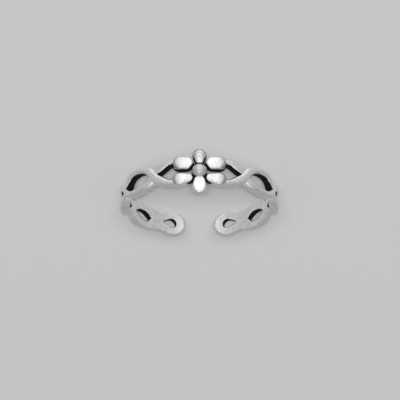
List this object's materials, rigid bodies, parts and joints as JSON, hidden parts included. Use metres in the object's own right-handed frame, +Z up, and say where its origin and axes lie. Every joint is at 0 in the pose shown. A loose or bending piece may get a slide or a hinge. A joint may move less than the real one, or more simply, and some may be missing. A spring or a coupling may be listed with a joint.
{
  "type": "toe ring",
  "caption": "Open adjustable silver toe ring of braided strands with looped ends and a petalled flower, lying on its side.",
  "frame": {"origin": "middle of the ring's box on the floor that it lies on", "axes": "+X across the ring, -Y towards the flower, +Z up; the ring's own axis leans 5 degrees from +Z towards +Y, because it rests on the tip of one petal and on its two end loops"},
  "size_m": [0.017, 0.0171, 0.0051],
  "materials": {
    "silver": "antiqued silver: satin strands, brighter polished petals, blackened hole walls and grooves"
  },
  "bodies": {
    "root": {"toe_ring": "silver"}
  },
  "joints": []
}
